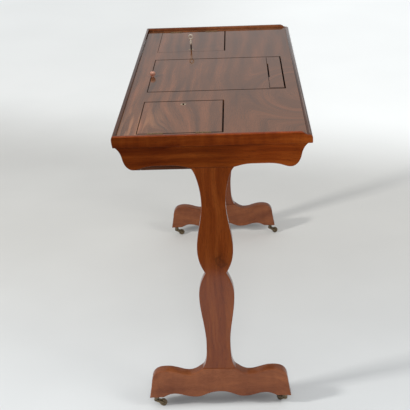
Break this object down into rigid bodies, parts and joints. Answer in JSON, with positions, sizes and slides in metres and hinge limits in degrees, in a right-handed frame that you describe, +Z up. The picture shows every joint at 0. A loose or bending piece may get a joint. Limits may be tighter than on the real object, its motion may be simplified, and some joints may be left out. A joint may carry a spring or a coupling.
{
  "type": "reading table",
  "caption": "Trestle reading table with a galleried top, hinged lids over locked wells, a rising ratchet slope with a flip-up book ledge, and swivelling brass castors.",
  "frame": {"origin": "on the floor under the middle of the table", "axes": "+X along the table's length to the reader's right, +Y away from the reader towards the gallery, +Z up"},
  "size_m": [1.14, 0.476, 0.79],
  "materials": {
    "top_mahogany": "polished figured mahogany",
    "edge_mahogany": "polished mahogany",
    "leg_mahogany": "waxed mahogany",
    "inner_wood": "unpolished secondary wood",
    "old_brass": "aged brass",
    "dark_bronze": "dark patinated brass"
  },
  "bodies": {
    "table": {"top_board": "top_mahogany", "left_end_lip": "edge_mahogany", "right_end_lip": "edge_mahogany", "back_gallery_rail": "edge_mahogany", "front_edge_moulding": "edge_mahogany", "left_bearer": "edge_mahogany", "right_bearer": "edge_mahogany", "left_standard": "leg_mahogany", "right_standard": "leg_mahogany", "left_foot": "leg_mahogany", "right_foot": "leg_mahogany", "back_rail": "inner_wood", "front_rail": "inner_wood", "left_partition": "inner_wood", "right_partition": "inner_wood", "left_well_front": "inner_wood", "right_well_front": "inner_wood", "left_well_end": "inner_wood", "right_well_end": "inner_wood", "left_well_bottom": "inner_wood", "right_well_bottom": "inner_wood", "slope_bottom": "inner_wood", "ratchet_rack": "inner_wood", "left_panel_pin": "old_brass", "right_panel_pin": "old_brass", "left_back_fixed_leaf": "old_brass", "left_front_fixed_leaf": "old_brass", "right_back_fixed_leaf": "old_brass", "right_front_fixed_leaf": "old_brass", "left_back_castor_socket": "dark_bronze", "left_front_castor_socket": "dark_bronze", "right_back_castor_socket": "dark_bronze", "right_front_castor_socket": "dark_bronze"},
    "left_lid": {"left_lid": "top_mahogany", "left_back_lid_leaf": "old_brass", "left_front_lid_leaf": "old_brass", "left_lock_case": "old_brass", "left_escutcheon": "old_brass"},
    "right_lid": {"right_lid": "top_mahogany", "right_back_lid_leaf": "old_brass", "right_front_lid_leaf": "old_brass", "right_lock_case": "old_brass", "right_escutcheon": "old_brass"},
    "left_bolt": {"left_bolt": "old_brass"},
    "right_bolt": {"right_bolt": "old_brass"},
    "key": {"key": "old_brass"},
    "slope": {"reading_panel": "top_mahogany", "prop_cleat": "inner_wood", "prop_rod": "old_brass", "slope_knob": "old_brass"},
    "ledge": {"book_ledge": "top_mahogany"},
    "prop": {"prop_strut": "inner_wood"},
    "left_back_fork": {"left_back_castor_fork": "dark_bronze"},
    "left_front_fork": {"left_front_castor_fork": "dark_bronze"},
    "right_back_fork": {"right_back_castor_fork": "dark_bronze"},
    "right_front_fork": {"right_front_castor_fork": "dark_bronze"},
    "left_back_wheel": {"left_back_castor_wheel": "dark_bronze"},
    "left_front_wheel": {"left_front_castor_wheel": "dark_bronze"},
    "right_back_wheel": {"right_back_castor_wheel": "dark_bronze"},
    "right_front_wheel": {"right_front_castor_wheel": "dark_bronze"}
  },
  "joints": [
    {"name": "left_lid_hinge", "type": "hinge", "parent": "table", "child": "left_lid", "pos_m": [-0.5293, 0.078, 0.742], "axis": [0, -1, 0], "range_deg": [0, 105]},
    {"name": "right_lid_hinge", "type": "hinge", "parent": "table", "child": "right_lid", "pos_m": [0.5293, 0.078, 0.742], "axis": [0, 1, 0], "range_deg": [0, 105]},
    {"name": "left_bolt_slide", "type": "slide", "parent": "left_lid", "child": "left_bolt", "axis": [1, 0, 0], "range_m": [0, 0.008]},
    {"name": "right_bolt_slide", "type": "slide", "parent": "right_lid", "child": "right_bolt", "axis": [-1, 0, 0], "range_m": [0, 0.008]},
    {"name": "key_turn", "type": "hinge", "parent": "right_lid", "child": "key", "pos_m": [0.293, 0.078, 0.742], "axis": [0, 0, 1], "range_deg": [0, 90]},
    {"name": "slope_rise", "type": "hinge", "parent": "table", "child": "slope", "pos_m": [0, -0.1886, 0.7396], "axis": [1, 0, 0], "range_deg": [0, 40]},
    {"name": "ledge_flip", "type": "hinge", "parent": "slope", "child": "ledge", "pos_m": [0, -0.1886, 0.7396], "axis": [1, 0, 0], "range_deg": [0, 90]},
    {"name": "prop_swing", "type": "hinge", "parent": "slope", "child": "prop", "pos_m": [0, -0.0686, 0.713], "axis": [1, 0, 0], "range_deg": [-62.8, 0]},
    {"name": "left_back_swivel", "type": "hinge", "parent": "table", "child": "left_back_fork", "pos_m": [-0.5545, 0.1695, 0.015], "axis": [0, 0, 1], "continuous": true},
    {"name": "left_front_swivel", "type": "hinge", "parent": "table", "child": "left_front_fork", "pos_m": [-0.5545, -0.1665, 0.015], "axis": [0, 0, 1], "continuous": true},
    {"name": "right_back_swivel", "type": "hinge", "parent": "table", "child": "right_back_fork", "pos_m": [0.5545, 0.1695, 0.015], "axis": [0, 0, 1], "continuous": true},
    {"name": "right_front_swivel", "type": "hinge", "parent": "table", "child": "right_front_fork", "pos_m": [0.5545, -0.1665, 0.015], "axis": [0, 0, 1], "continuous": true},
    {"name": "left_back_spin", "type": "hinge", "parent": "left_back_fork", "child": "left_back_wheel", "pos_m": [-0.55764, 0.15168, 0.01], "axis": [0.9848, -0.1736, 0], "continuous": true},
    {"name": "left_front_spin", "type": "hinge", "parent": "left_front_fork", "child": "left_front_wheel", "pos_m": [-0.54063, -0.15487, 0.01], "axis": [-0.6428, 0.766, 0], "continuous": true},
    {"name": "right_back_spin", "type": "hinge", "parent": "right_back_fork", "child": "right_back_wheel", "pos_m": [0.54951, 0.1521, 0.01], "axis": [0.9613, -0.2756, 0], "continuous": true},
    {"name": "right_front_spin", "type": "hinge", "parent": "right_front_fork", "child": "right_front_wheel", "pos_m": [0.54772, -0.18328, 0.01], "axis": [0.9272, -0.3746, 0], "continuous": true}
  ],
  "couplings": [
    {"joint": "prop_swing", "follows": "slope_rise", "ratio": -1.57},
    {"joint": "right_bolt_slide", "follows": "key_turn", "m_per_rad": 0.00509}
  ]
}
